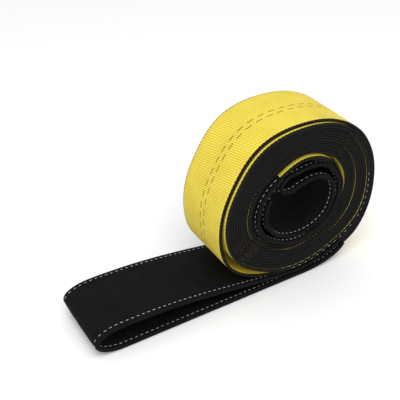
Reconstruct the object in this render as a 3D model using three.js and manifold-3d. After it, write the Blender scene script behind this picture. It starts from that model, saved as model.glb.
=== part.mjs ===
// A flat webbing lifting sling with a sleeved eye at each end. It is rolled up from one eye,
// and the roll lies on the sleeve of the other. Millimetres, +Z up, the webbing's width along Y.
// The origin is on the floor, under the middle of the roll.
import * as THREE from 'three';
import { mergeVertices } from 'three/addons/utils/BufferGeometryUtils.js';
import Module from 'manifold-3d';

const wasm = await Module();
wasm.setup();

// The webbing and the cloth sleeves of its two eyes
const webWidth = 75;
const webThickness = 2.6;
const sleeveWall = 1;
const faceEase = 0.9; // air between the webbing's faces and its sleeve
const edgeEase = 0.3; // the same at the webbing's edges
const layerGap = 0.3; // between layers that lie on each other
const fusedDepth = 0.3; // how far the outer turn is pressed into the roll that it lies on

// The roll: its hollow, its turns, and the air in each turn at every 30 degrees,
// anticlockwise from the right. It is wound tight underneath and slack over the top.
const turnCount = 13;
const hollowWidth = 112;
const hollowHeight = 99;
const hollowShift = -2;
const turnSlack = [0.58, 0.56, 0.93, 0.87, 1.05, 0.56, 0.54, 0.61, 0.34, 0.4, 0.53, 1.07];
const rollForward = 5; // the roll's turns stand this far in front of the outer turn
const innerEyeForward = 3; // the inner eye stands this far in front of the roll's turns
const grooveWidth = 0.8;
const grooveDepth = 1.4;
const grooveMargin = 0.45; // of a turn, between the groove's two ends and the roll's own faces

// The outer turn: how far it bags away from the roll, low on the left
const bagDepth = 5.5;
const bagAngle = 216;
const bagSpread = 26;

// The outer eye, which lies on the floor to the left of the roll
const eyeReach = 244; // from the middle of the roll to the eye's tip
const eyeHeight = 34;
const noseLength = 34; // the rounded tip's own length
const noseMiddleShare = 0.52; // of the eye's height, where its tip is steepest
const noseRoundness = 8; // how far the tip runs straight up, on each side of that
const legArch = 0.42; // of the upper leg's length, over which it stays as high as the tip
const seatSlope = [-0.3, 5]; // how it comes down to its seat: share of its length, and rise
const floorEnd = 12; // where the lower leg leaves the floor
const riserPull = 26; // how gently it leaves the floor
const riserDrop = [-8, -13]; // which way it comes down from its mouth
const seatStart = -12; // where the upper leg comes to lie on the lower one
const lowerMouthAngle = 309;
const lowerLeavingAngle = 352; // where the outer turn leaves the roll for the lower mouth
const upperMouthAngle = 306;
const upperLeavingAngle = 336; // where the folded end leaves it for the upper mouth
const spliceEndAngle = 392; // where the folded end, sewn to the outer turn, stops
const spliceRamp = 22; // degrees over which the outer turn climbs on to it
const outerTurnStart = 650; // where the outer turn begins, sunk in the roll
const outerTurnFree = 620; // where it is all out of the roll

// The inner eye, inside the roll's hollow
const innerMouthAngle = 122;
const innerEyeHeight = 22; // of its open tip, outside
const tipBack = 9; // from the tip's top to the first turn
const tipAngle = 457; // where the tip's top is, anticlockwise from the right
const innerLegGap = 1; // air between its two legs
const innerLegRoom = 3.4; // the same on the right
const innerEndAngle = 163;
// The tip's bend: how far past its top in X, and down as a share of its height
const tipBend = [[0, 0], [-8, 0.14], [-12, 0.55], [-8.5, 0.9], [1, 1]];
// Where the outer leg comes in to the tip, and the inner leg goes out from it: angle, then
// millimetres short of the tip's depth, or share of its height inside the other leg
const tipApproach = [[430, 3], [446, 0.6]];
const tipDeparture = [[425, 0.8], [400, 0.4]];
// The folded end, from the inner mouth across the outer one: angle past the outer mouth, and
// millimetres further from the hollow's wall than the sleeve
const tailCrossing = [[11, 1], [-2, 0.5], [-14, -3.6]];

const arcStep = 7.5;
const noseStep = 3.5;
const innerStep = 5; // the inner eye bends more
const outerAngleStep = 8;
const foldedAngleStep = 6;
const innerAngleStep = 20;
const turnSteps = 24; // of the grooves, in each turn
const ringSteps = 84; // of the roll's inner and outer walls
const mergeWithin = 0.01; // points on one straight edge become one edge

const sleeveThickness = webThickness + 2 * (faceEase + sleeveWall);
const sleeveWidth = webWidth + 2 * (edgeEase + sleeveWall);
const legPitch = sleeveThickness + layerGap;
const webPitch = webThickness + layerGap;
const webLift = webThickness / 2 - fusedDepth;
const seatLift = webPitch + layerGap + sleeveThickness / 2;

const inRadians = THREE.MathUtils.degToRad;

// A value between a list's even steps round the roll, on a smooth curve
function around(values, angle) {
  const place = THREE.MathUtils.euclideanModulo(angle, 360) / (360 / values.length);
  const first = Math.floor(place);
  const f = place - first;
  const [a, b, c, d] = [-1, 0, 1, 2].map((k) => values[(first + k + values.length) % values.length]);
  return b + 0.5 * f * (c - a + f * (2 * a - 5 * b + 4 * c - d + f * (3 * (b - c) + d - a)));
}

const turnPitch = (angle) => webThickness + around(turnSlack, angle);
const rollLift = 2 * legPitch + webPitch;
const hollowCentre = new THREE.Vector2(
  hollowShift,
  rollLift + turnCount * turnPitch(270) + hollowHeight / 2,
);

// A point on the roll's end: so many turns out from the hollow, and lifted so far off that turn
function rollPoint(angle, turns, lift = 0) {
  const out = turns * turnPitch(angle) + lift;
  return new THREE.Vector2(
    hollowCentre.x + (hollowWidth / 2 + out) * Math.cos(inRadians(angle)),
    hollowCentre.y + (hollowHeight / 2 + out) * Math.sin(inRadians(angle)),
  );
}

function ringPoints(turns, lift = 0) {
  return Array.from({ length: ringSteps }, (_, k) => rollPoint((360 * k) / ringSteps, turns, lift));
}

// A smooth line through points, cut into even steps
function smoothLine(points, step) {
  const curve = new THREE.CatmullRomCurve3(points.map((p) => new THREE.Vector3(p.x, p.y, 0)));
  const count = Math.max(2, Math.round(curve.getLength() / step));
  return curve.getSpacedPoints(count).map((p) => new THREE.Vector2(p.x, p.y));
}

function bezierLine(start, startPull, endPull, end, step) {
  const curve = new THREE.CubicBezierCurve(start, startPull, endPull, end);
  const count = Math.max(2, Math.round(curve.getLength() / step));
  return curve.getSpacedPoints(count);
}

function joinLines(...lines) {
  return lines.reduce((whole, line) => {
    const joined = whole.length && whole.at(-1).distanceTo(line[0]) < 0.01;
    return whole.concat(joined ? line.slice(1) : line);
  }, []);
}

// The outline of a band that follows a line
function bandOutline(line, thickness) {
  const sides = line.map((p, k) => {
    const before = p.clone().sub(line[Math.max(k - 1, 0)]).normalize();
    const after = line[Math.min(k + 1, line.length - 1)].clone().sub(p).normalize();
    const along = before.add(after).normalize();
    const reach = thickness / 2 / Math.max(along.dot(k ? p.clone().sub(line[k - 1]).normalize()
      : line[1].clone().sub(p).normalize()), 0.5);
    return new THREE.Vector2(-along.y, along.x).multiplyScalar(reach);
  });
  const left = line.map((p, k) => p.clone().add(sides[k]));
  const right = line.map((p, k) => p.clone().sub(sides[k]));
  return left.concat(right.reverse());
}

function toSolid(geometry) {
  geometry.deleteAttribute('normal');
  geometry.deleteAttribute('uv');
  const merged = mergeVertices(geometry, 1e-4);
  return new wasm.Manifold(new wasm.Mesh({
    numProp: 3,
    vertProperties: new Float32Array(merged.attributes.position.array),
    triVerts: new Uint32Array(merged.index.array),
  }));
}

// A flat outline, in X and Z, given its width along Y
function across(outline, width, forward = 0, hole = null) {
  const shape = new THREE.Shape(outline);
  if (hole) shape.holes.push(new THREE.Path(hole));
  const geometry = new THREE.ExtrudeGeometry(shape, { depth: width, bevelEnabled: false });
  geometry.rotateX(Math.PI / 2);
  geometry.translate(0, width / 2 - forward, 0);
  return toSolid(geometry);
}

// A V-shaped cutter along a line on the face at y, cutting inwards from it
function grooveCutter(line, y, inwards) {
  const positions = [];
  const index = [];
  const clear = 0.3;
  const mouth = (grooveWidth / 2) * (1 + clear / grooveDepth);
  line.forEach((p, k) => {
    const along = line[Math.min(k + 1, line.length - 1)].clone().sub(line[Math.max(k - 1, 0)]).normalize();
    const side = new THREE.Vector2(-along.y, along.x).multiplyScalar(mouth);
    positions.push(p.x + side.x, y - inwards * clear, p.y + side.y);
    positions.push(p.x - side.x, y - inwards * clear, p.y - side.y);
    positions.push(p.x, y + inwards * grooveDepth, p.y);
  });
  const addFace = (a, b, c) => index.push(...(inwards > 0 ? [a, b, c] : [a, c, b]));
  for (let k = 0; k < line.length - 1; k += 1) {
    for (let edge = 0; edge < 3; edge += 1) {
      const [a, b] = [3 * k + edge, 3 * k + ((edge + 1) % 3)];
      addFace(a, b, a + 3);
      addFace(b, b + 3, a + 3);
    }
  }
  const last = 3 * (line.length - 1);
  addFace(0, 2, 1);
  addFace(last, last + 1, last + 2);
  return new wasm.Manifold(new wasm.Mesh({
    numProp: 3,
    vertProperties: new Float32Array(positions),
    triVerts: new Uint32Array(index),
  }));
}

// The spiral that shows between the turns on the roll's ends
function turnSpiral() {
  const steps = Math.round((turnCount - 2 * grooveMargin) * turnSteps);
  return Array.from({ length: steps + 1 }, (_, k) => {
    const turns = grooveMargin + k / turnSteps;
    return rollPoint(innerMouthAngle - 360 * turns, turns);
  });
}

// How far the outer turn's middle lies off the roll
function outerLift(angle) {
  const away = (THREE.MathUtils.euclideanModulo(angle, 360) - bagAngle) / bagSpread;
  return webLift + bagDepth * Math.exp(-away * away);
}

// How far one layer at the splice, low on the right, has moved from the roll to its sleeve's mouth
function leavingShare(angle, mouthAngle, leavingAngle) {
  return THREE.MathUtils.smoothstep(leavingAngle - angle, 0, leavingAngle - mouthAngle);
}

// The outer turn and the outer eye, as the webbing's middle line. It leaves the roll at the
// lower right, goes round under it, over the top and down to the eye, and the folded end comes
// back between the outer turn and the roll.
function outerLine() {
  const turn = [];
  for (let angle = outerTurnStart; angle > lowerMouthAngle + 3; angle -= outerAngleStep) {
    const overSplice = THREE.MathUtils.smoothstep(spliceEndAngle + spliceRamp - angle, 0, spliceRamp);
    const leaving = leavingShare(angle, lowerMouthAngle, lowerLeavingAngle) ** 2;
    const onRoll = outerLift(angle) + overSplice * webPitch;
    const lift = THREE.MathUtils.lerp(onRoll, seatLift + legPitch, leaving);
    const sunk = THREE.MathUtils.smoothstep(angle, outerTurnFree, outerTurnStart) * webThickness;
    turn.push(rollPoint(angle, turnCount, lift - sunk));
  }
  const lowerMouth = rollPoint(lowerMouthAngle, turnCount, seatLift + legPitch);
  turn.push(lowerMouth);
  const floor = new THREE.Vector2(floorEnd, sleeveThickness / 2);
  const riser = bezierLine(
    lowerMouth,
    lowerMouth.clone().add(new THREE.Vector2(...riserDrop)),
    new THREE.Vector2(floorEnd + riserPull, floor.y),
    floor,
    arcStep,
  );
  const noseX = noseLength - eyeReach;
  const noseMiddle = new THREE.Vector2(sleeveThickness / 2 - eyeReach, eyeHeight * noseMiddleShare);
  const noseFoot = new THREE.Vector2(noseX, floor.y);
  const noseTop = new THREE.Vector2(noseX, eyeHeight - sleeveThickness / 2);
  const pull = noseLength / 2;
  const nose = joinLines(
    bezierLine(noseFoot, new THREE.Vector2(noseX - pull, noseFoot.y),
      new THREE.Vector2(noseMiddle.x, noseMiddle.y - noseRoundness), noseMiddle, noseStep),
    bezierLine(noseMiddle, new THREE.Vector2(noseMiddle.x, noseMiddle.y + noseRoundness),
      new THREE.Vector2(noseX - pull, noseTop.y), noseTop, noseStep),
  );
  const seat = rollPoint(seatAngle(), turnCount, seatLift);
  const span = seat.x - noseX;
  const [seatPull, seatRise] = seatSlope;
  const upperLeg = bezierLine(
    noseTop,
    new THREE.Vector2(noseX + legArch * span, noseTop.y + 1),
    new THREE.Vector2(seat.x + seatPull * span, seat.y + seatRise),
    seat,
    arcStep,
  );
  const folded = [];
  const upperMouth = rollPoint(upperMouthAngle, turnCount, seatLift);
  for (let angle = seatAngle(); angle < spliceEndAngle; angle += foldedAngleStep) {
    const leaving = leavingShare(angle, upperMouthAngle, upperLeavingAngle);
    folded.push(rollPoint(angle, turnCount, THREE.MathUtils.lerp(outerLift(angle), seatLift, leaving)));
  }
  const line = joinLines(smoothLine(turn, arcStep), riser, [noseFoot], nose, upperLeg,
    smoothLine(folded, arcStep));
  return { line, start: nearest(line, lowerMouth), end: nearest(line, upperMouth) };
}

function seatAngle() {
  return 270 + THREE.MathUtils.radToDeg(Math.asin((seatStart - hollowCentre.x) / (hollowCentre.y)));
}

function nearest(line, point) {
  const away = line.map((p) => p.distanceTo(point));
  return away.indexOf(Math.min(...away));
}

// The inner eye, from the outer leg's mouth round to the tip and back along the inner leg.
// Depths are from the hollow's wall to the webbing's middle.
function innerLine() {
  const outerDepth = layerGap + sleeveThickness / 2;
  const innerDepth = outerDepth + sleeveThickness + innerLegGap;
  const tipDepth = tipBack + sleeveThickness / 2;
  const at = (angle, depth) => rollPoint(angle, 0, -depth);
  const mouth = at(innerMouthAngle, outerDepth);
  const outerLeg = [
    at(innerMouthAngle - 26, -webThickness / 2),
    at(innerMouthAngle - 14, outerDepth * 0.3),
    mouth,
  ];
  for (let angle = 140; angle <= 380; angle += innerAngleStep) outerLeg.push(at(angle, outerDepth));
  outerLeg.push(at(405, outerDepth + 2));
  outerLeg.push(...tipApproach.map(([angle, short]) => at(angle, tipDepth - short)));
  const tipTop = at(tipAngle, tipDepth);
  const drop = innerEyeHeight - sleeveThickness;
  const tip = tipBend.map(([x, share]) => new THREE.Vector2(tipTop.x + x, tipTop.y - share * drop));
  const innerLeg = tipDeparture.map(([angle, share]) => at(angle, innerDepth + share * drop));
  innerLeg.push(at(378, innerDepth + innerLegRoom));
  for (let angle = 360; angle >= 180; angle -= innerAngleStep) innerLeg.push(at(angle, innerDepth));
  const innerMouth = at(innerEndAngle, innerDepth);
  innerLeg.push(innerMouth);
  const pastSleeve = outerDepth + sleeveThickness / 2 + webLift + layerGap;
  const tail = [
    at(innerMouthAngle + 25, innerDepth),
    ...tailCrossing.map(([past, further]) => at(innerMouthAngle + past, pastSleeve + further)),
    at(innerMouthAngle - 25, 0.5),
    at(innerMouthAngle - 34, -webThickness),
  ];
  const line = smoothLine([...outerLeg, ...tip, ...innerLeg, ...tail], innerStep);
  return { line, start: nearest(line, mouth), end: nearest(line, innerMouth) };
}

// The tube of cloth round one eye's webbing, open at both mouths
function sleeve({ line, start, end }, forward) {
  const covered = line.slice(start, end + 1);
  const first = covered[0].clone().lerp(covered[1], -0.2);
  const last = covered.at(-1).clone().lerp(covered.at(-2), -0.2);
  const passage = [first, ...covered.slice(1, -1), last];
  return across(bandOutline(covered, sleeveThickness), sleeveWidth, forward)
    .subtract(across(bandOutline(passage, webThickness + 2 * faceEase), webWidth + 2 * edgeEase, forward));
}

function webbing(outer, inner) {
  const roll = across(ringPoints(turnCount), webWidth, rollForward, ringPoints(0));
  const outerTurn = across(bandOutline(outer.line, webThickness), webWidth);
  const innerEye = across(bandOutline(inner.line, webThickness), webWidth, rollForward + innerEyeForward);
  const spiral = turnSpiral();
  const frontCut = grooveCutter(spiral, -webWidth / 2 - rollForward, 1);
  const backCut = grooveCutter(spiral, webWidth / 2 - rollForward, -1);
  return roll.subtract(frontCut).subtract(backCut).add(outerTurn).add(innerEye).simplify(mergeWithin);
}

function toMesh(name, solid, colour, roughness) {
  const { vertProperties, triVerts } = solid.getMesh();
  const geometry = new THREE.BufferGeometry();
  geometry.setAttribute('position', new THREE.BufferAttribute(vertProperties, 3));
  geometry.setIndex(new THREE.BufferAttribute(triVerts, 1));
  geometry.computeVertexNormals();
  const material = new THREE.MeshStandardMaterial({ color: colour, roughness, metalness: 0 });
  const mesh = new THREE.Mesh(geometry, material);
  mesh.name = name;
  return mesh;
}

const outer = outerLine();
const inner = innerLine();
const sling = new THREE.Group();
sling.name = 'lifting_sling';
sling.add(toMesh('webbing', webbing(outer, inner), 0xe9b90c, 0.6));
sling.add(toMesh('outer_eye_sleeve', sleeve(outer, 0), 0x1b1b1d, 0.85));
sling.add(toMesh('inner_eye_sleeve', sleeve(inner, rollForward + innerEyeForward), 0x1b1b1d, 0.85));

export default sling;
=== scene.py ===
# Rolled webbing lifting sling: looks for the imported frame.
# Routes are worked out in millimetres, as on the frame, and go into the meshes in metres.
import bpy
import math
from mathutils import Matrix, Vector
from mathutils.geometry import interpolate_bezier


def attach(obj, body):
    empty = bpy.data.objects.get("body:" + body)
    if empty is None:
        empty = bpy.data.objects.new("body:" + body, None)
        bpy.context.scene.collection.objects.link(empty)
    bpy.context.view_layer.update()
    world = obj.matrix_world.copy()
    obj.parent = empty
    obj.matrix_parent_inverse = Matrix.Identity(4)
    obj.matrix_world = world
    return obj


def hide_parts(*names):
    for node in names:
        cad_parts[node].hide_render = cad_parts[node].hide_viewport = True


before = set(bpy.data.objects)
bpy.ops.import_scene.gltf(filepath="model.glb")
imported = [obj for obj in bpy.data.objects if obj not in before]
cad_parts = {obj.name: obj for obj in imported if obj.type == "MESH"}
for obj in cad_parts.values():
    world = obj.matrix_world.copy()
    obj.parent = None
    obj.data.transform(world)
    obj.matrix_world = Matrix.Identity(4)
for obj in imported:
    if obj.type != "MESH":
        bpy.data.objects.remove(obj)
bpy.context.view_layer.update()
mm = 0.001
print("frame loaded")


# Camera: the photo's own viewing angle, on a square picture
view = {"place": (-0.4325, -0.5506, 0.5663), "aim": (-0.10037, 0.0, 0.11949), "lens": 69.24}


def addCamera():
    lens = bpy.data.cameras.new("photoCamera")
    lens.lens = view["lens"]
    lens.sensor_width = 36
    camera = bpy.data.objects.new("photoCamera", lens)
    camera.location = view["place"]
    sight = Vector(view["aim"]) - Vector(view["place"])
    camera.rotation_euler = sight.to_track_quat("-Z", "Y").to_euler()
    bpy.context.collection.objects.link(camera)
    bpy.context.scene.camera = camera


# Webbing and sleeves, in millimetres
webbing = {
    "width": 75, "thickness": 3.0, "thicknessWound": 2.6, "thicknessInSleeve": 2.2,
    "selvedge": 2.4, "farSelvedge": 1.5, "pick": 2.5, "endsApart": 2.9,
    "tracerApart": 6.6, "tracerMiddle": 35.8, "tracerRepeat": 12.7, "tracerDash": 7.4,
}
cloth = {
    "width": 77.6, "outerEyeWidth": 81.6, "wall": 0.8,
    "stitchInset": 4.0, "stitchPitch": 6.0, "stitchLength": 3.4, "stitchWidth": 0.62,
}
# half the sleeve's thickness, by distance from its edge
clothHalf = [(0, 2.0), (1.2, 2.4), (2.8, 2.4), (4.0, 2.15), (5.2, 2.4), (9, 2.6), (20, 2.85), (39, 2.9)]

# The roll, as on the frame: its hollow, and the air in each turn at every 30 degrees,
# anticlockwise from the right
roll = {
    "turns": 13, "frameWeb": 2.6, "frameSleeve": 6.4, "gap": 0.3,
    "hollowWidth": 112, "hollowHeight": 99, "hollowShift": -2,
    "slack": [0.72, 0.49, 0.56, 0.52, 0.72, 0.23, 0.24, 0.32, 0.17, 0.4, 0.58, 1.25],
    "startAngle": 122, "looseAngle": 290,
    "bagDepth": 8, "bagAngle": 224, "bagSpread": 30,
}
eye = {
    "reach": 244, "height": 34, "nose": 34, "noseMiddle": 0.52, "noseRoundness": 8,
    "floorEnd": 12, "floorPull": 26, "riserPull": 8, "riserDrop": 13,
    "seatStart": -12, "legArch": 0.42, "seatSlope": (-0.3, 5),
    "lowerMouth": 309, "upperMouth": 306, "lowerLeaves": 352, "upperLeaves": 336,
    "turnStart": 646, "spliceEnd": 392, "overlapRamp": 34, "endTaper": 26, "endPressed": 0.45,
}
innerEye = {"spliceAngle": 205}
legPitch = roll["frameSleeve"] + roll["gap"]
webPitch = roll["frameWeb"] + roll["gap"]
seatLift = webPitch + roll["gap"] + roll["frameSleeve"] / 2


def smooth(value, low, high):
    share = min(max((value - low) / (high - low), 0), 1)
    return share * share * (3 - 2 * share)


def between(low, high, share):
    return low + (high - low) * share


def throughKnots(knots, value):
    for (low, a), (high, b) in zip(knots, knots[1:]):
        if value < high:
            return between(a, b, smooth(value, low, high))
    return knots[-1][1]


def curveAt(a, b, c, d, f):
    return b + 0.5 * f * (c - a + f * (2 * a - 5 * b + 4 * c - d + f * (3 * (b - c) + d - a)))


def turnPitch(angle):
    values = roll["slack"]
    place = (angle % 360) / (360 / len(values))
    first = int(place)
    near = [values[(first + k) % len(values)] for k in (-1, 0, 1, 2)]
    return roll["frameWeb"] + curveAt(*near, place - first)


hollowHigh = 2 * legPitch + webPitch + roll["turns"] * turnPitch(270) + roll["hollowHeight"] / 2


def rollPoint(angle, out, forward=0.0):
    turn = math.radians(angle)
    return Vector((
        roll["hollowShift"] + (roll["hollowWidth"] / 2 + out) * math.cos(turn),
        -forward,
        hollowHigh + (roll["hollowHeight"] / 2 + out) * math.sin(turn),
    ))


def onRoll(angle, lift):
    return rollPoint(angle, roll["turns"] * turnPitch(angle) + lift)


def evenSteps(fine, step):
    far = [0.0]
    for a, b in zip(fine, fine[1:]):
        far.append(far[-1] + (b - a).length)
    count = max(2, round(far[-1] / step))
    path = []
    k = 0
    for n in range(count + 1):
        want = far[-1] * n / count
        while k < len(fine) - 2 and far[k + 1] < want:
            k += 1
        share = (want - far[k]) / max(far[k + 1] - far[k], 1e-9)
        path.append(fine[k].lerp(fine[k + 1], min(share, 1)))
    return path


def curvePath(points, step):  # a smooth curve through the points, cut into even steps
    ends = [points[0] * 2 - points[1]] + list(points) + [points[-1] * 2 - points[-2]]
    fine = [points[0]]
    for k in range(len(points) - 1):
        fine += [curveAt(*ends[k:k + 4], f / 12) for f in range(1, 13)]
    return evenSteps(fine, step)


def bezierPath(start, startPull, endPull, end, step):
    return evenSteps(interpolate_bezier(start, startPull, endPull, end, 60), step)


def joinPaths(*paths):
    whole = []
    for path in paths:
        whole += path[1:] if whole and (whole[-1] - path[0]).length < 0.3 else path
    return whole


def pathLength(path):
    return round(sum((b - a).length for a, b in zip(path, path[1:])))


def nearest(path, point):
    return min(range(len(path)), key=lambda k: (path[k] - point).length)


# How far the wound webbing stands towards the viewer: the roll's skew, then what each stretch
# adds to it, by turns wound from the inner eye
skew = {"middle": 2.6, "side": 1.0, "rise": 0.4}
forwardKnots = [
    (0.0, 0.4), (0.08, 0.8), (0.19, 0.0), (0.25, -6.0), (0.29, -4.8), (0.33, -1.6),
    (0.42, -1.4), (0.6, -3.0),
    (0.84, -4.6), (1.0, -3.8), (1.12, -3.0), (1.22, -1.6), (1.3, -0.6), (1.45, -1.8),
    (1.84, -2.8), (2.1, -2.4), (2.3, -1.6), (2.6, -2.6), (2.84, -0.8), (3.0, -1.2), (3.3, -1.4),
    (3.6, -0.8), (3.84, -2.6), (4.1, -1.4), (4.5, -1.0), (5.0, -1.2), (5.34, -1.9), (5.9, -0.8),
    (6.34, 0.0), (6.6, -0.6), (7.0, -0.9), (7.5, -0.3), (8.0, -0.7), (8.5, -0.2), (9.0, -0.6),
    (9.5, 0.1), (10.0, -0.4), (10.34, -1.0), (10.6, -0.8), (10.84, 0.1), (11.1, 0.4), (11.3, 0.8),
    (11.6, 1.1), (11.84, 1.0), (12.1, 0.9),
]


def bodyForward(angle):
    turn = math.radians(angle)
    return skew["middle"] - skew["side"] * math.cos(turn) + skew["rise"] * math.sin(turn)


def woundForward(turns, angle):
    flush = smooth(turns, 12.1, 12.28)
    return (bodyForward(angle) + throughKnots(forwardKnots, turns)) * (1 - flush)


firstDrop = [(0, 1.0), (0.09, 2.1), (0.2, 2.2), (0.45, 0.5), (0.7, 0)]  # the first turn hugs the eye


def pliesBelow(share):  # beyond the whole turns: the folded end lies under half of each turn
    return -1 + 2 * smooth(share, 0, 0.11) - smooth(share, 0.58, 0.68)


def woundOut(turns, angle):
    whole = math.floor(turns)
    share = turns - whole
    plies = whole + pliesBelow(share)
    full = roll["turns"] + pliesBelow(share) - smooth(share, 0.4, 0.53)
    out = plies / full * roll["turns"] * turnPitch(angle) + webbing["thickness"] / 2
    return out - throughKnots(firstDrop, turns)


turnsWound = roll["turns"] - 1 + (roll["startAngle"] + 360 - roll["looseAngle"]) / 360


def woundPath():
    # clockwise from the inner eye's mouth to where the outer turn comes off, low on the right
    steps = int(turnsWound * 84)
    points = [rollPoint(roll["startAngle"] + 11, -2.9, woundForward(0, roll["startAngle"]))]
    for k in range(steps + 1):
        turns = turnsWound * k / steps
        angle = roll["startAngle"] - 360 * turns
        points.append(rollPoint(angle, woundOut(turns, angle), woundForward(turns, angle)))
    return points


def outerLift(angle):
    away = ((angle % 360) - roll["bagAngle"]) / roll["bagSpread"]
    return webbing["thickness"] / 2 + 0.05 + roll["bagDepth"] * math.exp(-away * away)


def leavingShare(angle, mouth, leaving):
    return smooth(leaving - angle, 0, leaving - mouth)


def outerPath():
    # once round the roll, down to the floor, round the eye's nose, back, and up the splice
    turn = []
    for angle in range(eye["turnStart"], eye["lowerMouth"] + 3, -8):
        overSplice = smooth(eye["spliceEnd"] + eye["overlapRamp"] - angle, 0, eye["overlapRamp"])
        leaving = leavingShare(angle, eye["lowerMouth"], eye["lowerLeaves"]) ** 2
        lift = between(outerLift(angle) + overSplice * webPitch, seatLift + legPitch, leaving)
        turn.append(onRoll(angle, lift))
    lowerMouth = onRoll(eye["lowerMouth"], seatLift + legPitch)
    turn.append(lowerMouth)
    low = roll["frameSleeve"] / 2
    floor = Vector((eye["floorEnd"], 0, low))
    riser = bezierPath(lowerMouth, lowerMouth - Vector((eye["riserPull"], 0, eye["riserDrop"])),
                       floor + Vector((eye["floorPull"], 0, 0)), floor, 4)
    noseX = eye["nose"] - eye["reach"]
    pull = eye["nose"] / 2
    foot = Vector((noseX, 0, low))
    top = Vector((noseX, 0, eye["height"] - low))
    middle = Vector((low - eye["reach"], 0, eye["height"] * eye["noseMiddle"]))
    reach = Vector((0, 0, eye["noseRoundness"]))
    nose = joinPaths(
        bezierPath(foot, foot - Vector((pull, 0, 0)), middle - reach, middle, 1.8),
        bezierPath(middle, middle + reach, top - Vector((pull, 0, 0)), top, 1.8))
    seatAngle = 270 + math.degrees(math.asin((eye["seatStart"] - roll["hollowShift"]) / hollowHigh))
    seat = onRoll(seatAngle, seatLift)
    span = seat.x - noseX
    back, rise = eye["seatSlope"]
    upperLeg = bezierPath(top, top + Vector((eye["legArch"] * span, 0, 1)),
                          seat + Vector((back * span, 0, rise)), seat, 4)
    upperMouth = onRoll(eye["upperMouth"], seatLift)
    folded = [seat]
    angle = seatAngle + 6
    stop = eye["spliceEnd"] + eye["endTaper"]
    while angle < stop:
        leaving = leavingShare(angle, eye["upperMouth"], eye["upperLeaves"])
        pressed = eye["endPressed"] * smooth(angle, eye["spliceEnd"], stop)
        lift = outerLift(angle) - pressed * webbing["thickness"]
        folded.append(onRoll(angle, between(lift, seatLift, leaving)))
        angle += 6
    path = joinPaths(curvePath(turn, 4), riser, evenSteps([floor, foot], 5), nose, upperLeg,
                     curvePath(folded, 4))
    return path, nearest(path, lowerMouth), nearest(path, upperMouth)


# The inner eye, from its mouth anticlockwise round the hollow to the tip: angle, depth of the
# leg's middle inside the hollow's wall, and how far its near edge stands forward
outerLegKnots = [
    (122, 2.0, 5.6), (140, 2.0, 5.2), (160, 2.0, 4.8), (180, 1.6, 4.5), (200, 1.8, 4.6),
    (225, 2.4, 5.0), (250, 2.6, 5.8), (270, 2.8, 6.0), (295, 2.4, 5.0), (320, 1.6, 3.5),
    (345, 2.2, 2.0), (370, 2.8, 0.8), (395, 3.6, 0.0), (415, 5.6, 0.0), (432, 8.4, 0.2),
    (446, 10.6, 0.4), (457, 11.6, 0.6),
]
# then the inner leg, from the tip back to its own mouth
innerLegKnots = [
    (425, 23.4, 0.4), (405, 17.6, 0.6), (385, 12.8, 0.8), (365, 10.6, 1.0), (345, 9.8, 1.6),
    (325, 7.6, 2.2), (305, 7.2, 2.5), (285, 7.6, 2.5), (265, 8.4, 2.6), (245, 9.2, 2.8),
    (225, 10.2, 3.2), (200, 11.2, 3.6), (180, 11.6, 3.8), (165, 11.4, 4.0), (152, 11.0, 4.0),
]
# the tip's bend, past its top in x and z
tipBend = [(-10, -1.6), (-17.5, -7.5), (-19.0, -14.0), (-13.5, -20.0), (-4, -20.4), (3, -17.6)]


def innerPath():
    outerLeg = [rollPoint(angle, -depth, forward) for angle, depth, forward in outerLegKnots]
    tip = [outerLeg[-1] + Vector((x, 0, z)) for x, z in tipBend]
    innerLeg = [rollPoint(angle, -depth, forward) for angle, depth, forward in innerLegKnots]
    return curvePath(outerLeg + tip + innerLeg, 3)


def tailPath():
    # the folded end: out of the inner mouth, across the other one, then under the first turn
    start = roll["startAngle"]
    outs = [(start + 42, -11.2), (start + 28, -10.4), (start + 14, -8.6), (start + 2, -7.4),
            (start - 12, -5.2)]
    points = [rollPoint(angle, out, -1.0 - 0.05 * (start + 42 - angle)) for angle, out in outs]
    for k in range(24, innerEye["spliceAngle"], 8):
        angle = start - k
        turns = k / 360
        out = woundOut(turns, angle) - webbing["thickness"] - 0.1
        forward = between(-3.0, woundForward(turns, angle) - 1.5, smooth(k, 24, 60))
        points.append(rollPoint(angle, out, forward))
    return curvePath(points, 4)


# Meshes: a closed section swept along a path. Its points are (across, off the middle), in mm
def sweep(name, path, section, capped, thins=None):
    count = len(section)
    verts = []
    along = [0.0]
    for a, b in zip(path, path[1:]):
        along.append(along[-1] + (b - a).length)
    for k, point in enumerate(path):
        run = path[min(k + 1, len(path) - 1)] - path[max(k - 1, 0)]
        run.y = 0
        run.normalize()
        off = Vector((-run.z, 0, run.x))
        thin = thins[k] if thins else 1
        verts += [(point + off * h * thin + Vector((0, y, 0))) * mm for y, h in section]
    faces = []
    for k in range(len(path) - 1):
        for n in range(count):
            m = (n + 1) % count
            faces.append((k * count + n, k * count + m, (k + 1) * count + m, (k + 1) * count + n))
    if capped:
        last = (len(path) - 1) * count
        faces.append(tuple(range(count - 1, -1, -1)))
        faces.append(tuple(range(last, last + count)))
    mesh = bpy.data.meshes.new(name)
    mesh.from_pydata(verts, [], faces)
    spots = mesh.uv_layers.new(name="strap").data
    half = max(y for y, h in section)
    for loop in mesh.loops:
        row, place = divmod(loop.vertex_index, count)
        spots[loop.index].uv = (along[row] * mm, (section[place][0] + half) * mm)
    piece = bpy.data.objects.new(name, mesh)
    bpy.context.collection.objects.link(piece)
    return piece


def select(piece):
    bpy.ops.object.select_all(action="DESELECT")
    piece.select_set(True)
    bpy.context.view_layer.objects.active = piece


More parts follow.
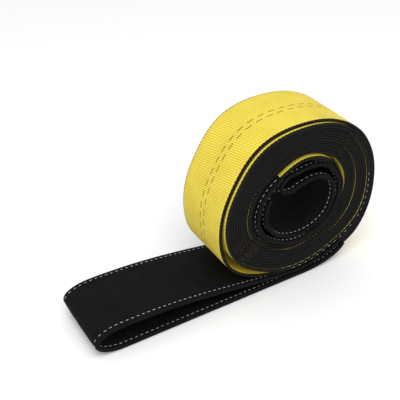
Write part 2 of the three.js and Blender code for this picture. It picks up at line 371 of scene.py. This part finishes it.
def faceOutwards(piece):
    select(piece)
    bpy.ops.object.mode_set(mode="EDIT")
    bpy.ops.mesh.select_all(action="SELECT")
    bpy.ops.mesh.normals_make_consistent(inside=False)
    bpy.ops.object.mode_set(mode="OBJECT")
    bpy.ops.object.shade_smooth_by_angle(angle=math.radians(50))


def webSection():
    half = webbing["width"] / 2
    thick = webbing["thickness"] / 2
    columns = [-30, -15, 0, 15, 30]
    rim = [(36.4, 0.98), (37.0, 0.8), (half, 0.35), (half, -0.35), (37.0, -0.8), (36.4, -0.98)]
    top = [(y, thick) for y in columns]
    right = [(y, h * thick) for y, h in rim]
    return top + right + [(-y, -h) for y, h in top] + [(-y, -h) for y, h in right]


def clothSection(width):
    half = width / 2
    insets = [9, 5.2, 4.0, 2.8, 1.2, 0.3]
    top = [(y, throughKnots(clothHalf, half - abs(y))) for y in (-20, -8, 0, 8, 20)]
    right = [(half - inset, throughKnots(clothHalf, inset)) for inset in insets] + [(half, 1.2)]
    right += [(y, -h) for y, h in reversed(right)]
    left = [(-y, h) for y, h in reversed(right)]
    under = [(y, -h) for y, h in reversed(top)]
    return top + right + under + left


def makeWebbing(name, path, thins=None):
    piece = sweep(name, path, webSection(), True, thins)
    faceOutwards(piece)
    return piece


def makeSleeve(name, path, width):
    piece = sweep(name, path, clothSection(width), False)
    faceOutwards(piece)
    solid = piece.modifiers.new("cloth", "SOLIDIFY")
    solid.thickness = cloth["wall"] * mm
    solid.offset = -1
    bpy.ops.object.modifier_apply(modifier="cloth")
    return piece


# Stitches: one low-poly dash, repeated
def makeStitches(name, dashes, length, width):
    bpy.ops.mesh.primitive_uv_sphere_add(segments=6, ring_count=4, radius=0.5)
    pattern = bpy.context.object
    corners = [v.co.copy() for v in pattern.data.vertices]
    sides = [tuple(p.vertices) for p in pattern.data.polygons]
    bpy.data.objects.remove(pattern)
    verts = []
    faces = []
    for point, along, normal in dashes:
        side = normal.cross(along).normalized()
        start = len(verts)
        verts += [(point + along * (c.z * length) + side * (c.x * width)
                   + normal * (c.y * width * 0.6)) * mm for c in corners]
        faces += [tuple(start + n for n in face) for face in sides]
    mesh = bpy.data.meshes.new(name)
    mesh.from_pydata(verts, [], faces)
    piece = bpy.data.objects.new(name, mesh)
    bpy.context.collection.objects.link(piece)
    faceOutwards(piece)
    return piece


def pathFrames(path):
    frames = []
    for k, point in enumerate(path):
        run = path[min(k + 1, len(path) - 1)] - path[max(k - 1, 0)]
        flat = Vector((run.x, 0, run.z)).normalized()
        frames.append((point, run.normalized(), Vector((-flat.z, 0, flat.x))))
    return frames


def sleeveDashes(path, width):
    inset = cloth["stitchInset"]
    edge = width / 2 - inset
    height = throughKnots(clothHalf, inset) + 0.15
    frames = pathFrames(evenSteps(path, cloth["stitchPitch"]))
    dashes = []
    for point, along, off in frames[1:-1]:
        for y in (-edge, edge):
            for face in (1, -1):
                dashes.append((point + Vector((0, y, 0)) + off * height * face, along, off * face))
    # a row across at each mouth
    for point, along, off in (frames[1], frames[-2]):
        for k in range(-5, 6):
            y = k * cloth["stitchPitch"]
            high = throughKnots(clothHalf, width / 2 - abs(y)) + 0.15
            for face in (1, -1):
                spot = point + Vector((0, y, 0)) + off * high * face
                dashes.append((spot, Vector((0, 1, 0)), off * face))
    return dashes


# The splices' rows of stitches, seen on the turns' near edges: from and to, in turns wound
splice = {
    "rows": [(11.33, 11.43), (10.34, 10.47), (11.45, 11.6), (10.5, 10.62), (12.33, 12.46)],
    "pitch": 8.2, "length": 3.2, "width": 0.45,
    "rowSides": (-0.6, 1.0),  # off the middle of the strap's thickness, row by row
    "patchAngle": 70, "patchFrom": -32, "patchRows": 3, "patchStitches": 5,
    "patchRowApart": 1.5, "patchPitch": 4.4, "patchBack": 9,
}


def spliceDashes(wound, outer):
    steps = len(wound) / turnsWound
    edge = Vector((0, -webbing["width"] / 2 - 0.1, 0))
    dashes = []
    for row, (low, high) in enumerate(splice["rows"]):
        path = wound[int(low * steps):int(high * steps)]
        side = splice["rowSides"][row % 2]
        for point, along, off in pathFrames(evenSteps(path, splice["pitch"])):
            dashes.append((point + edge + off * side, along, Vector((0, -1, 0))))
    top = onRoll(splice["patchAngle"], webbing["thickness"] / 2)
    point, along, off = pathFrames(outer)[nearest(outer, top)]
    for row in range(splice["patchRows"]):
        for k in range(splice["patchStitches"]):
            spot = Vector((0, splice["patchFrom"] + splice["patchRowApart"] * row, 0))
            spot += along * (splice["patchPitch"] * k - splice["patchBack"])
            dashes.append((point + off * (webbing["thickness"] / 2 + 0.1) + spot, along, off))
    return dashes


# Materials
def newMaterial(name):
    material = bpy.data.materials.new(name)
    material.use_nodes = True
    tree = material.node_tree
    tree.nodes.clear()
    shader = tree.nodes.new("ShaderNodeBsdfPrincipled")
    out = tree.nodes.new("ShaderNodeOutputMaterial")
    tree.links.new(shader.outputs["BSDF"], out.inputs["Surface"])
    return material, tree, shader


def wire(tree, value, socket):
    if isinstance(value, bpy.types.NodeSocket):
        tree.links.new(value, socket)
    else:
        socket.default_value = value


def calc(tree, operation, *values):
    node = tree.nodes.new("ShaderNodeMath")
    node.operation = operation
    for value, socket in zip(values, node.inputs):
        wire(tree, value, socket)
    return node.outputs[0]


def blend(tree, share, first, second):
    node = tree.nodes.new("ShaderNodeMix")
    node.data_type = "RGBA"
    wire(tree, share, node.inputs[0])
    wire(tree, first, node.inputs[6])
    wire(tree, second, node.inputs[7])
    return node.outputs[2]


def ramp(tree, value, low, high, start=0.0, end=1.0):
    node = tree.nodes.new("ShaderNodeMapRange")
    node.interpolation_type = "SMOOTHSTEP"
    for socket, given in zip(node.inputs, (value, low, high, start, end)):
        wire(tree, given, socket)
    return node.outputs[0]


def noise(tree, where, scale, detail=2.0):
    node = tree.nodes.new("ShaderNodeTexNoise")
    wire(tree, where, node.inputs["Vector"])
    node.inputs["Scale"].default_value = scale
    node.inputs["Detail"].default_value = detail
    return node.outputs[0]


def bump(tree, height, distance, shader, strength=1.0):
    node = tree.nodes.new("ShaderNodeBump")
    node.inputs["Strength"].default_value = strength
    node.inputs["Distance"].default_value = distance
    tree.links.new(height, node.inputs["Height"])
    tree.links.new(node.outputs["Normal"], shader.inputs["Normal"])


def weaveGroup():  # two crossed sets of yarns
    group = bpy.data.node_groups.new("crossedYarns", "ShaderNodeTree")
    for name in ("Along", "Across", "Pick", "Ends"):
        group.interface.new_socket(name, in_out="INPUT", socket_type="NodeSocketFloat")
    group.interface.new_socket("Height", in_out="OUTPUT", socket_type="NodeSocketFloat")
    start = group.nodes.new("NodeGroupInput")
    end = group.nodes.new("NodeGroupOutput")
    along, across, pick, ends = start.outputs[:4]
    lengthwise = calc(group, "DIVIDE", along, pick)
    sidewise = calc(group, "DIVIDE", across, ends)
    step = calc(group, "FLOOR", sidewise)
    shifted = calc(group, "MULTIPLY_ADD", step, 0.25, lengthwise)
    ribs = calc(group, "ABSOLUTE", calc(group, "SINE", calc(group, "MULTIPLY", shifted, math.pi)))
    cords = calc(group, "ABSOLUTE", calc(group, "SINE", calc(group, "MULTIPLY", sidewise, math.pi)))
    height = calc(group, "MULTIPLY", calc(group, "POWER", ribs, 0.6),
                  calc(group, "MULTIPLY_ADD", cords, 0.4, 0.6))
    group.links.new(height, end.inputs["Height"])
    return group


def useWeave(tree, group, along, across, pick, ends):
    node = tree.nodes.new("ShaderNodeGroup")
    node.node_tree = group
    for value, socket in zip((along, across, pick, ends), node.inputs):
        wire(tree, value, socket)
    return node.outputs["Height"]


def strapCoordinates(tree):
    spot = tree.nodes.new("ShaderNodeUVMap")
    spot.uv_map = "strap"
    split = tree.nodes.new("ShaderNodeSeparateXYZ")
    tree.links.new(spot.outputs["UV"], split.inputs[0])
    return spot.outputs["UV"], split.outputs["X"], split.outputs["Y"]


# the deep yellow is both a random darker tone and painted shade between the yarns; the crown yellow and
# the selvedge ridge grey are painted highlights
webColours = {
    "crownHighlight": (0.86, 0.78, 0.17, 1), "yellow": (0.76, 0.62, 0.06, 1), "deepToneAndShade": (0.60, 0.41, 0.012, 1),
    "tracer": (0.11, 0.038, 0.004, 1), "selvedge": (0.002, 0.002, 0.0024, 1),
    "selvedgeRidgeHighlight": (0.017, 0.017, 0.0165, 1), "roughness": 0.75, "gloss": 0.05, "yellowGloss": 0.3,
}


def webbingMaterial(group):
    material, tree, shader = newMaterial("wovenWebbing")
    where, along, across = strapCoordinates(tree)
    width = webbing["width"] * mm
    pick = webbing["pick"] * mm
    fromFar = calc(tree, "SUBTRACT", width + (webbing["selvedge"] - webbing["farSelvedge"]) * mm, across)
    fromEdge = calc(tree, "MINIMUM", across, fromFar)
    # the black edge yarns reach over the first yellow ones at every other pick
    teeth = calc(tree, "SINE", calc(tree, "MULTIPLY", along, math.pi / pick * 1.1))
    reach = calc(tree, "MULTIPLY_ADD", teeth, 0.22 * mm, webbing["selvedge"] * mm)
    yellow = ramp(tree, calc(tree, "SUBTRACT", fromEdge, reach), -0.1 * mm, 0.15 * mm)
    weave = useWeave(tree, group, along, across, pick, webbing["endsApart"] * mm)
    cloud = noise(tree, where, 42)
    cloudy = ramp(tree, cloud, 0.35, 0.7, 0.0, 0.35)
    colour = blend(tree, cloudy, webColours["yellow"], webColours["deepToneAndShade"])
    # painted shade: low places in the weave, between the yarns, darken to the deep yellow
    colour = blend(tree, ramp(tree, weave, 0.15, 0.75, 0.95, 0.0), colour, webColours["deepToneAndShade"])
    # painted highlight: the yarn crowns, where the weave stands highest, lighten to the crown yellow
    colour = blend(tree, ramp(tree, weave, 0.8, 1.0, 0.0, 0.7), colour, webColours["crownHighlight"])
    for side in (-0.5, 0.5):
        middle = (webbing["tracerMiddle"] + side * webbing["tracerApart"]) * mm
        offLine = calc(tree, "ABSOLUTE", calc(tree, "SUBTRACT", across, middle))
        line = calc(tree, "LESS_THAN", offLine, 0.55 * mm)
        place = calc(tree, "DIVIDE", along, webbing["tracerRepeat"] * mm)
        place = calc(tree, "FRACT", calc(tree, "ADD", place, side / 2))
        dash = calc(tree, "LESS_THAN", place, webbing["tracerDash"] / webbing["tracerRepeat"])
        mark = calc(tree, "MULTIPLY", calc(tree, "MULTIPLY", line, dash), 0.85)
        colour = blend(tree, mark, colour, webColours["tracer"])
    # on the edges the picks stand as ridges across the strap's thickness; the ridge tops carry a painted
    # highlight, lighter than the black edge yarns
    ridge = calc(tree, "ABSOLUTE", calc(tree, "SINE", calc(tree, "MULTIPLY", along, math.pi / pick)))
    edging = blend(tree, ridge, webColours["selvedge"], webColours["selvedgeRidgeHighlight"])
    colour = blend(tree, yellow, edging, colour)
    wire(tree, colour, shader.inputs["Base Color"])
    shader.inputs["Roughness"].default_value = webColours["roughness"]
    gloss = calc(tree, "MULTIPLY_ADD", yellow, webColours["yellowGloss"], webColours["gloss"])
    wire(tree, gloss, shader.inputs["Specular IOR Level"])
    height = tree.nodes.new("ShaderNodeMix")
    wire(tree, yellow, height.inputs[0])
    wire(tree, ridge, height.inputs[2])
    wire(tree, weave, height.inputs[3])
    bump(tree, height.outputs[0], 0.5 * mm, shader, 0.9)
    return material


clothColours = {
    "dark": (0.0025, 0.0025, 0.003, 1), "worn": (0.008, 0.008, 0.0085, 1),
    "roughness": 0.8, "gloss": 0.07,
}


def clothMaterial(group):
    material, tree, shader = newMaterial("sleeveCloth")
    where, along, across = strapCoordinates(tree)
    weave = useWeave(tree, group, along, across, 0.9 * mm, 0.7 * mm)
    colour = blend(tree, noise(tree, where, 60), clothColours["dark"], clothColours["worn"])
    wire(tree, colour, shader.inputs["Base Color"])
    shader.inputs["Roughness"].default_value = clothColours["roughness"]
    shader.inputs["Specular IOR Level"].default_value = clothColours["gloss"]
    bump(tree, weave, 0.12 * mm, shader, 0.6)
    return material


threadColours = {"white": (0.66, 0.66, 0.64, 1), "grey": (0.38, 0.38, 0.37, 1), "roughness": 0.7}


def threadMaterial():
    material, tree, shader = newMaterial("whiteThread")
    spot = tree.nodes.new("ShaderNodeTexCoord").outputs["Object"]
    colour = blend(tree, noise(tree, spot, 90), threadColours["white"], threadColours["grey"])
    wire(tree, colour, shader.inputs["Base Color"])
    shader.inputs["Roughness"].default_value = threadColours["roughness"]
    return material


def finishPiece(piece, material, slotName, *nodes):
    piece.data.materials.append(material)
    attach(piece, "root")
    if nodes:
        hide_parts(*nodes)
    print("made", piece.name, len(piece.data.polygons), "faces")


# Stage: a pale floor and soft light
light = {"world": 0.85, "key": 14.0, "fill": 3.0, "floor": (0.92, 0.92, 0.92, 1)}


def addStage():
    bpy.context.scene.view_settings.view_transform = "Standard"
    world = bpy.data.worlds.new("paleStudio")
    bpy.context.scene.world = world
    world.use_nodes = True
    world.node_tree.nodes["Background"].inputs["Color"].default_value = (1, 1, 1, 1)
    world.node_tree.nodes["Background"].inputs["Strength"].default_value = light["world"]
    bpy.ops.mesh.primitive_plane_add(size=12)
    floor = bpy.context.object
    floor.name = "studioFloor"
    material, tree, shader = newMaterial("paleFloor")
    shader.inputs["Base Color"].default_value = light["floor"]
    shader.inputs["Roughness"].default_value = 0.9
    floor.data.materials.append(material)
    for name, place, size, power in (
            ("keyLight", (-0.5, -0.6, 1.5), 1.2, light["key"]),
            ("fillLight", (0.9, -1.2, 0.9), 1.5, light["fill"])):
        bpy.ops.object.light_add(type="AREA", location=place)
        lamp = bpy.context.object
        lamp.name = name
        lamp.data.size = size
        lamp.data.energy = power
        aim = Vector((0, 0, 0.08)) - Vector(place)
        lamp.rotation_euler = aim.to_track_quat("-Z", "Y").to_euler()


# How thick the strap is along its length, as shares of its free thickness
press = {
    "freePoints": 90, "spliceSteps": 13, "lowerSplice": 0.8, "upperSplice": 1.1,
    "mouthSteps": 6, "endSteps": 10, "endThin": 0.9,
}
sleevedThin = webbing["thicknessInSleeve"] / webbing["thickness"]
woundThin = webbing["thicknessWound"] / webbing["thickness"]


def strapThins(count, woundCount, lowerMouth, upperMouth):
    thins = []
    for k in range(count):
        inSleeve = smooth(k - lowerMouth, -3, 1) * smooth(upperMouth - k, -3, 1)
        thins.append(between(1, sleevedThin, inSleeve))
    # the turns press each other flat, and the splice is built up beside the outer eye
    for k in range(woundCount - press["freePoints"]):
        thins[k] = woundThin
    for k in range(press["spliceSteps"] + 1):
        near = 1 - smooth(k, 0, press["spliceSteps"])
        thins[upperMouth + 1 + k] += press["upperSplice"] * near
        thins[lowerMouth - 1 - k] += press["lowerSplice"] * near
    steps = press["mouthSteps"]
    thins[:steps] = [between(sleevedThin, woundThin, k / steps) for k in range(steps)]
    # the folded end is pressed thin where it stops
    last = press["endSteps"]
    thins[-last - 1:] = [1 - press["endThin"] * smooth(k, 0, last) for k in range(last + 1)]
    return thins


def buildSling():
    weave = weaveGroup()
    web = webbingMaterial(weave)
    sleeve = clothMaterial(weave)
    thread = threadMaterial()
    outer, lowerMouth, upperMouth = outerPath()
    inner = innerPath()
    wound = woundPath()
    folded = tailPath()
    whole = joinPaths(wound, outer)
    before = len(whole) - len(outer)
    thins = strapThins(len(whole), before, before + lowerMouth, before + upperMouth)
    strap = makeWebbing("webbing_strap", whole, thins)
    finishPiece(strap, web, "webbing", "webbing")
    tail = makeWebbing("webbing_folded_end", folded)
    finishPiece(tail, web, "webbing")
    inEye = makeWebbing("webbing_inner_eye", inner, [sleevedThin] * len(inner))
    finishPiece(inEye, web, "webbing")
    aside = Vector((0, (cloth["outerEyeWidth"] - cloth["width"]) / 2, 0))
    outerSleeve = [point + aside for point in outer[lowerMouth:upperMouth + 1]]
    for name, path in (("strap", whole), ("folded end", folded), ("inner eye", inner),
                       ("outer sleeve", outerSleeve)):
        print(name, "is", pathLength(path), "mm long")
    for name, path, width, node in (
            ("outer_sleeve_cloth", outerSleeve, cloth["outerEyeWidth"], "outer_eye_sleeve"),
            ("inner_sleeve_cloth", inner, cloth["width"], "inner_eye_sleeve")):
        finishPiece(makeSleeve(name, path, width), sleeve, "sleeve_cloth", node)
        stitches = makeStitches(name + "_stitches", sleeveDashes(path, width),
                                cloth["stitchLength"], cloth["stitchWidth"])
        finishPiece(stitches, thread, "sleeve_cloth")
    stitches = makeStitches("splice_stitches", spliceDashes(wound, outer),
                            splice["length"], splice["width"])
    finishPiece(stitches, thread, "webbing")


buildSling()
addStage()
addCamera()
